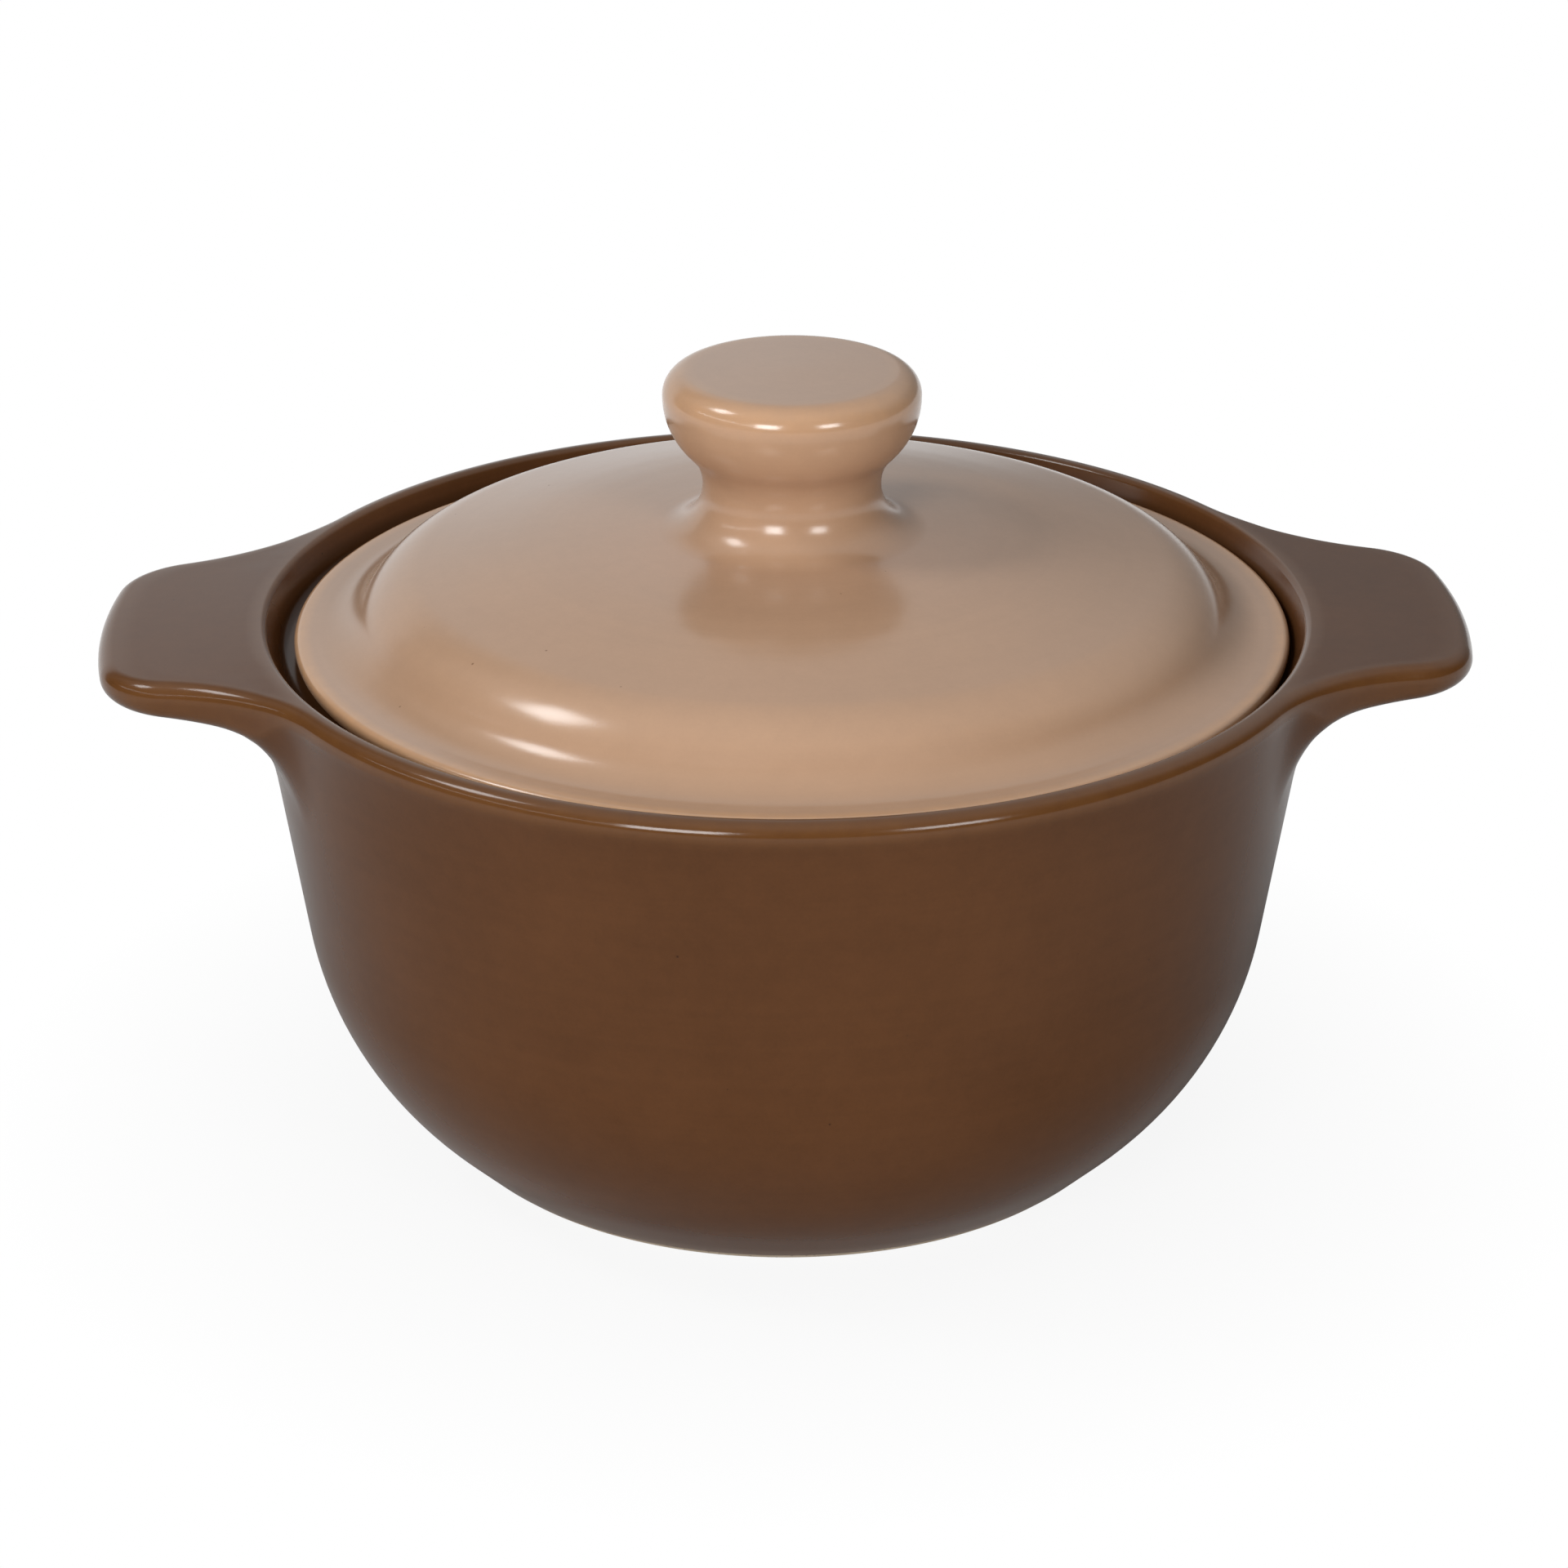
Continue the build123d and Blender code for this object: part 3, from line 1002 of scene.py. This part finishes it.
    def wall_rings(self, lug: np.ndarray, foot: np.ndarray) -> list[np.ndarray]:
        """Rows along the underside of the edge, down its web and the wall to the middle of the base.

        Args:
            lug: how far each column belongs to a handle.
            foot: the row where the underside starts.

        Returns:
            The rows below that one.
        """
        start = np.stack([np.linalg.norm(foot[:, :2], axis=1), foot[:, 2]])
        turn = blend(self.lip_under, math.pi - math.radians(self.under_slope), lug)
        inwards = np.stack([np.cos(turn), -np.sin(turn)])
        length = self.wall_radius(start[1]) - start[0]
        length /= inwards[0] - lean(self.wall_lean) * inwards[1]
        corner = start + length * inwards
        web_run = np.minimum(blend(self.lip_web_run, self.web_run, lug), self.web_room * length)
        web_start = corner - web_run * inwards
        leaning = math.radians(self.wall_lean)
        upwards = np.array([[math.sin(leaning)], [math.cos(leaning)]])
        web_end = corner - blend(self.lip_web_drop, self.web_drop, lug) * upwards
        pulled = [blend(end, corner, self.web_pull) for end in (web_start, web_end)]
        base = self.base_profile()

        section = [blend(start, web_start, share) for share in shares(self.under_rows)]
        for share in shares(self.web_rows):
            rest = 1 - share
            weights = (rest**3, 3 * share * rest**2, 3 * share**2 * rest, share**3)
            section.append(sum(weight * end for weight, end in zip(weights, (web_start, *pulled, web_end))))
        section += [blend(web_end, base[0][:, None], share) for share in shares(self.wall_rows)[:-1]]
        angle = np.arctan2(foot[:, 1], foot[:, 0])
        return [ring(radius, height, angle) for radius, height in (*section, *base)]

    def grid(self) -> np.ndarray:
        """Lay out the skin.

        Returns:
            Points (row, column, xyz) in millimetres: rows run from the middle of the inside over the
            lip or handle to the middle of the base, columns run round the pot.
        """
        brim = self.brim()
        rows = self.inside_rings(brim) + self.edge_rings(brim)
        return np.array(rows + self.wall_rings(brim.lug, rows[-1]))

    def build(self, finish: bpy.types.Material) -> bpy.types.Object:
        """Make the skin as one closed mesh.

        Args:
            finish: the glaze.

        Returns:
            The piece.
        """
        points = self.grid()
        rows, columns = points.shape[:2]
        index = np.arange(rows * columns).reshape(rows, columns)
        beside = np.roll(index, -1, axis=1)
        faces = np.stack([index[:-1], beside[:-1], beside[1:], index[1:]], axis=-1).reshape(-1, 4)
        mesh = bpy.data.meshes.new("glazed_bowl")
        mesh.from_pydata((points.reshape(-1, 3) * MM).tolist(), [], faces.tolist())
        # The inside gets painted shade through the pooled colour
        weights = self.pooled_and_shaded(self.edges(points), points[..., 2])
        turn = np.repeat(travelled(points[:, columns // 4])[:, None], columns, axis=1) * MM
        carry(mesh, "edge", weights)
        carry(mesh, "turn", turn)
        mesh.materials.append(finish)
        return placed("glazed_bowl", mesh)

    def pooled_and_shaded(self, weights: np.ndarray, heights: np.ndarray) -> np.ndarray:
        """Paint shade all over the inside: lower the edge weights there, so that the glaze turns to its
        darker, duller pooled colour.

        Args:
            weights: edge weights of the skin's grid.
            heights: its heights in millimetres.

        Returns:
            The weights, lowered below the lip on the inside.
        """
        inside = len(self.inside_profile())
        depth = self.pot_height - heights[:inside]
        out = weights.copy()
        out[:inside] -= self.throat_shade * smooth(depth / self.throat_shade_depth)
        return np.clip(out, -1.0, 1.0)

    @staticmethod
    def edges(points: np.ndarray) -> np.ndarray:
        """Find how edged or hollow the skin is at each point, going across the rows.

        Args:
            points: the skin's grid in millimetres.

        Returns:
            A weight from -1 in hollows to 1 on tight edges.
        """
        down = np.gradient(points, axis=0)
        around = np.roll(points, -1, axis=1) - np.roll(points, 1, axis=1)
        normal = np.cross(around, down)
        normal /= np.maximum(np.linalg.norm(normal, axis=2, keepdims=True), TINY)
        steps = np.diff(points, axis=0)
        steps /= np.maximum(np.linalg.norm(steps, axis=2, keepdims=True), TINY)
        turns = np.zeros(points.shape[:2])
        turns[1:-1] = np.sum(np.diff(steps, axis=0) * normal[1:-1], axis=2)
        columns = range(points.shape[1])
        return np.column_stack([edge_weight(turns[:, k], travelled(points[:, k])) for k in columns])


@dataclass(frozen=True)
class FootRing:
    """The turned foot of a bowl, bare of glaze where it stands."""

    bowl: Bowl
    width: float = 9.0
    edge_round: float = 0.8
    inner_lean: float = 35.0
    buried: float = 0.3
    under_glaze: float = 0.2
    top_inset: float = 0.6
    arc_step: float = 10.0
    longest_run: float = 2.0
    segments: int = 240
    unevenness: float = 0.02
    seed: int = 4

    def build(self, wheel: TurningTree, finish: bpy.types.Material) -> bpy.types.Object:
        """Turn the ring, its top sunk into the base of the bowl.

        Args:
            wheel: the turning tree.
            finish: the clay.

        Returns:
            The piece.
        """
        top = self.bowl.foot_height + self.buried
        inner = self.bowl.foot_radius - self.width
        outside = self.bowl.foot_radius - self.under_glaze
        inner_top = (inner - top * lean(self.inner_lean), top, 0.0)
        corners = [
            inner_top,
            (outside + top * lean(self.bowl.base_flare) - self.top_inset, top, 0.0),
            (outside, 0.0, self.edge_round),
            (inner, 0.0, self.edge_round),
            inner_top,
        ]
        profile = divided(rounded_section(corners, self.arc_step), self.longest_run)
        return wheel.turn(
            "foot_ring_clay", profile, finish,
            Segments=self.segments, Unevenness=self.unevenness * MM, Seed=self.seed,
        )


@dataclass(frozen=True)
class Lid:
    """The loose lid of a bowl with its flange, dome and knob, as one glazed skin."""

    bowl: Bowl
    shift: float = 1.3
    lid_radius: float = 100.3
    flange_thickness: float = 4.3
    flange_round: float = 1.5
    flange_low_round: float = 2.7
    flange_width: float = 10.9
    flange_fillet: float = 11.0
    shoulder_height: float = 11.3
    shoulder_slope: float = 57.0
    shoulder_round: float = 20.0
    crown_slope: float = 12.6
    crown_radius: float = 51.0
    crown_round: float = 150.0
    crown_tilt: float = 4.0
    wall: float = 5.5
    mouth_round: float = 2.0
    knob_foot: float = 27.4
    knob_rise: float = 9.3
    knob_neck: float = 17.9
    knob_neck_top: float = 141.7
    knob_undercut_round: float = 9.0
    knob_cap: float = 25.8
    knob_cap_foot: float = 149.9
    knob_shoulder_round: float = 16.5
    knob_top: float = 161.7
    knob_top_round: float = 5.2
    knob_top_crown: float = 0.3
    knob_arc: float = 4.0
    knob_foot_rows: int = 13
    dome_arc: float = 3.0
    longest_run: float = 3.0
    segments: int = 288
    unevenness: float = 0.12
    seed: int = 11

    def knob_profile(self, foot_height: float) -> np.ndarray:
        """Section of the knob from the middle of its top to its spread foot.

        Args:
            foot_height: height of the crown where the foot ends.

        Returns:
            Points (radius, height).
        """
        waist = foot_height + self.knob_rise
        grip = rounded_section([
            (0.0, self.knob_top, 0.0),
            (self.knob_cap, self.knob_top - self.knob_top_crown, self.knob_top_round),
            (self.knob_cap, self.knob_cap_foot, self.knob_shoulder_round),
            (self.knob_neck, self.knob_neck_top, self.knob_undercut_round),
            (self.knob_neck, waist, 0.0),
        ], self.knob_arc)
        way = shares(self.knob_foot_rows) * math.pi / 2
        spread = self.knob_foot - self.knob_neck
        foot = [self.knob_foot - spread * np.cos(way), waist - self.knob_rise * np.sin(way)]
        return np.concatenate([grip, np.column_stack(foot)])

    def profile(self) -> np.ndarray:
        """Draw the section of the whole lid.

        Returns:
            Points (radius, height) from the middle of the knob's top round to that of the inside.
        """
        ledge = self.bowl.ledge_height
        flange_top = ledge + self.flange_thickness
        dome_foot = (self.lid_radius - self.flange_width, flange_top)
        shoulder = (
            dome_foot[0] - self.shoulder_height * lean(90 - self.shoulder_slope),
            flange_top + self.shoulder_height,
        )
        crown_rise = (shoulder[0] - self.crown_radius) * lean(self.crown_slope)
        crown = (self.crown_radius, shoulder[1] + crown_rise)
        foot_height = crown[1] + (self.crown_radius - self.knob_foot) * lean(self.crown_tilt)

        def below(point: tuple[float, float], slope: float) -> tuple[float, float]:
            """The point straight below one on the dome, on the underside."""
            return point[0], point[1] - self.wall / math.cos(math.radians(slope))

        inner_shoulder = crossing(
            below(shoulder, self.shoulder_slope), self.shoulder_slope - 90,
            below(shoulder, self.crown_slope), self.crown_slope - 90,
        )
        inner_crown = crossing(
            below(crown, self.crown_slope), self.crown_slope - 90,
            below(crown, self.crown_tilt), self.crown_tilt - 90,
        )
        mouth = inner_shoulder[0] + (inner_shoulder[1] - ledge) * lean(90 - self.shoulder_slope)
        dome = rounded_section([
            (self.knob_foot, foot_height, 0.0),
            (*crown, self.crown_round),
            (*shoulder, self.shoulder_round),
            (*dome_foot, self.flange_fillet),
            (self.lid_radius, flange_top, self.flange_round),
            (self.lid_radius, ledge, self.flange_low_round),
            (mouth, ledge, self.mouth_round),
            (*inner_shoulder, self.shoulder_round - self.wall),
            (*inner_crown, self.crown_round - self.wall),
            (0.0, inner_crown[1] + inner_crown[0] * lean(self.crown_tilt), 0.0),
        ], self.dome_arc)
        whole = np.concatenate([self.knob_profile(foot_height), dome[1:]])
        return divided(whole, self.longest_run)

    def build(self, wheel: TurningTree, finish: bpy.types.Material) -> bpy.types.Object:
        """Turn the lid where it lies in the gallery.

        Args:
            wheel: the turning tree.
            finish: the glaze.

        Returns:
            The piece.
        """
        return wheel.turn(
            "glazed_lid", self.profile(), finish, Segments=self.segments,
            Centre=self.shift * MM, Unevenness=self.unevenness * MM, Seed=self.seed,
        )


def direction(azimuth: float, elevation: float) -> Vector:
    """Way from the pot to a place round it; azimuth 0 is the viewer's side, 90 the right."""
    a, e = math.radians(azimuth), math.radians(elevation)
    return Vector((math.sin(a) * math.cos(e), -math.cos(a) * math.cos(e), math.sin(e)))


def aim(thing: bpy.types.Object, target: Vector, azimuth: float, elevation: float, distance: float) -> None:
    """Put a lamp or a camera at a place round a target and face it there.

    Args:
        thing: the lamp or camera.
        target: the point that it faces.
        azimuth: its place round the target in degrees, as for direction.
        elevation: its height over the horizon in degrees.
        distance: how far it is from the target in metres.
    """
    way = direction(azimuth, elevation)
    thing.location = target + way * distance
    thing.rotation_euler = (-way).to_track_quat("-Z", "Y").to_euler()


@dataclass(frozen=True)
class Softbox:
    """A lamp with an oblong face, turned to the pot; sizes are in metres."""

    name: str
    azimuth: float
    elevation: float
    distance: float
    width: float
    height: float
    watts: float

    def build(self, target: Vector) -> None:
        """Hang the lamp.

        Args:
            target: the point that it faces.
        """
        lamp = bpy.data.lights.new(self.name, "AREA")
        lamp.shape = "RECTANGLE"
        lamp.size, lamp.size_y, lamp.energy = self.width, self.height, self.watts
        aim(linked(self.name, lamp), target, self.azimuth, self.elevation, self.distance)


@dataclass(frozen=True)
class Studio:
    """White floor, soft light and the camera at the photograph's place.

    Lengths are in metres. A span holds the distances from the axis between which the floor runs out
    into white, seen straight or mirrored. A hem is a place along the dark cloth: its azimuth, its lower
    and upper elevation in degrees, and how much it covers there.
    """

    lens: float = 111.81
    sensor: float = 36.0
    clip: Span = (0.01, 100.0)
    azimuth: float = -2.2
    elevation: float = 23.663
    distance: float = 1.0
    target: tuple[float, float, float] = (-0.0003, 0.0, 0.07192)
    ambient: float = 0.15
    floor_glow: float = 0.9
    floor_half: float = 6.0
    floor_colour: Colour = (0.65, 0.65, 0.65, 1.0)
    shadow_span: Span = (0.08, 0.17)
    mirrored_span: Span = (0.14, 0.38)
    lamps: tuple[Softbox, ...] = (
        Softbox("left_softbox", -88.0, 50.0, 1.3, 0.29, 0.28, 3.7),
        Softbox("left_strip", -66.0, 24.0, 1.3, 1.30, 0.04, 1.3),
        Softbox("front_left_softbox", -24.0, 24.0, 1.3, 0.42, 0.36, 8.8),
        Softbox("front_right_softbox", 31.0, 24.0, 1.3, 0.36, 0.30, 5.0),
    )
    flag_colour: Colour = (0.05, 0.05, 0.05, 1.0)
    flag_columns: int = 160
    flag_rows: int = 24
    flag_distance: float = 3.0
    flag_top_fade: float = 0.6
    flag_low_fade: float = 0.2
    flag_hems: tuple[tuple[float, float, float, float], ...] = (
        (-166.0, 26.0, 64.0, 0.0),
        (-150.0, 26.0, 66.0, 0.6),
        (-138.0, 20.0, 70.0, 0.85),
        (-126.0, -8.0, 74.0, 0.8),
        (-114.0, -20.0, 76.0, 1.0),
        (-70.0, -20.0, 78.0, 1.0),
        (70.0, -20.0, 78.0, 1.0),
        (100.0, -16.0, 48.0, 1.0),
        (125.0, -16.0, 44.0, 0.75),
        (155.0, -16.0, 46.0, 0.66),
        (170.0, -16.0, 46.0, 0.6),
        (179.0, -16.0, 44.0, 0.0),
    )

    def build(self) -> None:
        """Set up the view, the floor, the lamps and the surrounding white."""
        scene = bpy.context.scene
        scene.view_settings.view_transform = "Standard"
        target = Vector(self.target)
        lens = bpy.data.cameras.new("camera")
        lens.lens, lens.sensor_width = self.lens, self.sensor
        lens.clip_start, lens.clip_end = self.clip
        scene.camera = linked("camera", lens)
        aim(scene.camera, target, self.azimuth, self.elevation, self.distance)
        for lamp in self.lamps:
            lamp.build(target)
        self.surround(scene)
        self.floor()
        self.flag()

    def surround(self, scene: bpy.types.Scene) -> None:
        """Make the world white to the eye and in reflections, and a soft light otherwise.

        Args:
            scene: the scene that gets the world.
        """
        scene.world = bpy.data.worlds.new("white_room")
        board = emptied(scene.world)
        path = board.add("ShaderNodeLightPath").outputs
        seen = board.math("MAXIMUM", path["Is Camera Ray"], self.bent(board, path))
        strength = board.ranged(seen, 0.0, 1.0, self.ambient, 1.0)
        back = board.add("ShaderNodeBackground", {"Color": WHITE, "Strength": strength})
        board.add("ShaderNodeOutputWorld", {"Surface": back.outputs[0]})

    @staticmethod
    def bent(board: Board, path: bpy.types.NodeOutputs) -> bpy.types.NodeSocket:
        """1 for what is seen mirrored or through glass, 0 otherwise."""
        return board.math("MAXIMUM", path["Is Glossy Ray"], path["Is Transmission Ray"])

    def floor(self) -> None:
        """Lay a white floor that keeps the pot's shadow near it and runs out into white."""
        half = self.floor_half
        corners = [(-half, -half, 0), (half, -half, 0), (half, half, 0), (-half, half, 0)]
        mesh = bpy.data.meshes.new("floor")
        mesh.from_pydata(corners, [], [(0, 1, 2, 3)])
        floor = linked("floor", mesh)
        made = bpy.data.materials.new("white_floor")
        board = emptied(made)
        place = board.add("ShaderNodeTexCoord").outputs["Object"]
        away = board.add("ShaderNodeVectorMath", {0: place}, operation="LENGTH").outputs["Value"]
        path = board.add("ShaderNodeLightPath").outputs
        fading = board.ranged(away, *self.shadow_span, self.floor_glow, 1.0)
        straight = board.math("MULTIPLY", fading, path["Is Camera Ray"])
        mirrored = board.math("MULTIPLY", board.ranged(away, *self.mirrored_span), self.bent(board, path))
        share = board.math("MAXIMUM", mirrored, straight)
        glow = board.add("ShaderNodeEmission", {"Color": WHITE, "Strength": 1.0}).outputs[0]
        lit = board.add("ShaderNodeBsdfDiffuse", {"Color": self.floor_colour}).outputs[0]
        board.show(board.add("ShaderNodeMixShader", {0: share, 1: lit, 2: glow}))
        mesh.materials.append(made)

    def flag(self) -> None:
        """Hang a dark cloth with thin hems round the pot, out of the camera's sight."""
        turns, lows, tops, covers = np.array(self.flag_hems).T
        points, cover = [], []
        for azimuth in np.linspace(turns[0], turns[-1], self.flag_columns + 1):
            low, top, closed = (np.interp(azimuth, turns, row) for row in (lows, tops, covers))
            for share in np.linspace(0.0, 1.0, self.flag_rows + 1):
                points.append(direction(azimuth, blend(low, top, share)) * self.flag_distance)
                hem = smooth((1.0 - share) / self.flag_top_fade) * smooth(share / self.flag_low_fade)
                cover.append(closed * hem)
        step = self.flag_rows + 1
        faces = [
            (i * step + j, (i + 1) * step + j, (i + 1) * step + j + 1, i * step + j + 1)
            for i in range(self.flag_columns) for j in range(self.flag_rows)
        ]
        mesh = bpy.data.meshes.new("dark_flag")
        mesh.from_pydata(points, [], faces)
        carry(mesh, "cover", cover)
        cloth = bpy.data.materials.new("dark_cloth")
        board = emptied(cloth)
        black = board.add("ShaderNodeBsdfDiffuse", {"Color": self.flag_colour}).outputs[0]
        opening = board.add("ShaderNodeBsdfTransparent").outputs[0]
        board.show(board.add("ShaderNodeMixShader", {0: board.attribute("cover"), 1: opening, 2: black}))
        mesh.materials.append(cloth)
        flag = linked("dark_flag", mesh)
        flag.visible_camera = False


def hand_over(piece: bpy.types.Object, body: Body, slot: Slot, *nodes: str) -> None:
    """Tell the frame what a piece rides on and what it replaces.

    Args:
        piece: the finished piece.
        body: the body that it moves with.
        slot: the record's finish; not used.
        nodes: the solids that it stands for.
    """
    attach(piece, body.value)
    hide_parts(*nodes)
    faces = len(piece.data.polygons)
    log.info("%s: %d faces on %s for %s", piece.name, faces, body.value, ", ".join(nodes))


BROWN = Glaze(
    slot=Slot.BROWN,
    thin=(0.130, 0.0515, 0.0182, 1.0),
    thick=(0.092, 0.0357, 0.0124, 1.0),
    edge=(0.158, 0.066, 0.0190, 1.0),
    # The hollow colour is both pooled glaze in concave turns and painted shade over the bowl's inside
    hollow=(0.05, 0.02, 0.007, 1.0),
    speck=(0.030, 0.013, 0.007, 1.0),
    gloss=0.17,
    specular=0.155,
    edge_specular=0.28,
    hollow_specular=0.06,
    edge_share=0.55,
)
TAN = Glaze(
    slot=Slot.TAN,
    thin=(0.530, 0.328, 0.207, 1.0),
    thick=(0.462, 0.286, 0.180, 1.0),
    edge=(0.68, 0.378, 0.188, 1.0),
    hollow=(0.38, 0.224, 0.128, 1.0),
    speck=(0.22, 0.115, 0.060, 1.0),
    gloss=0.19,
    specular=0.5,
    edge_specular=0.55,
    hollow_specular=0.42,
    edge_share=0.7,
)
CLAY = BareClay(
    slot=Slot.CLAY,
    pale=(0.66, 0.56, 0.44, 1.0),
    dark=(0.50, 0.40, 0.30, 1.0),
    grog=(0.17, 0.12, 0.085, 1.0),
)


def main() -> None:
    """Build the pot and its lid, then the studio, and log each piece's faces."""
    logging.basicConfig(level=logging.INFO, format="%(message)s")
    wheel = TurningTree()
    bowl = Bowl()
    glazed_bowl = bowl.build(BROWN.material())
    hand_over(glazed_bowl, Body.POT, Slot.BROWN, "pot_body", "left_handle", "right_handle")
    foot = FootRing(bowl).build(wheel, CLAY.material())
    hand_over(foot, Body.POT, Slot.CLAY, "foot_ring")
    lid = Lid(bowl).build(wheel, TAN.material())
    hand_over(lid, Body.LID, Slot.TAN, "lid_dome", "lid_knob")
    Studio().build()


if __name__ == "__main__":
    main()
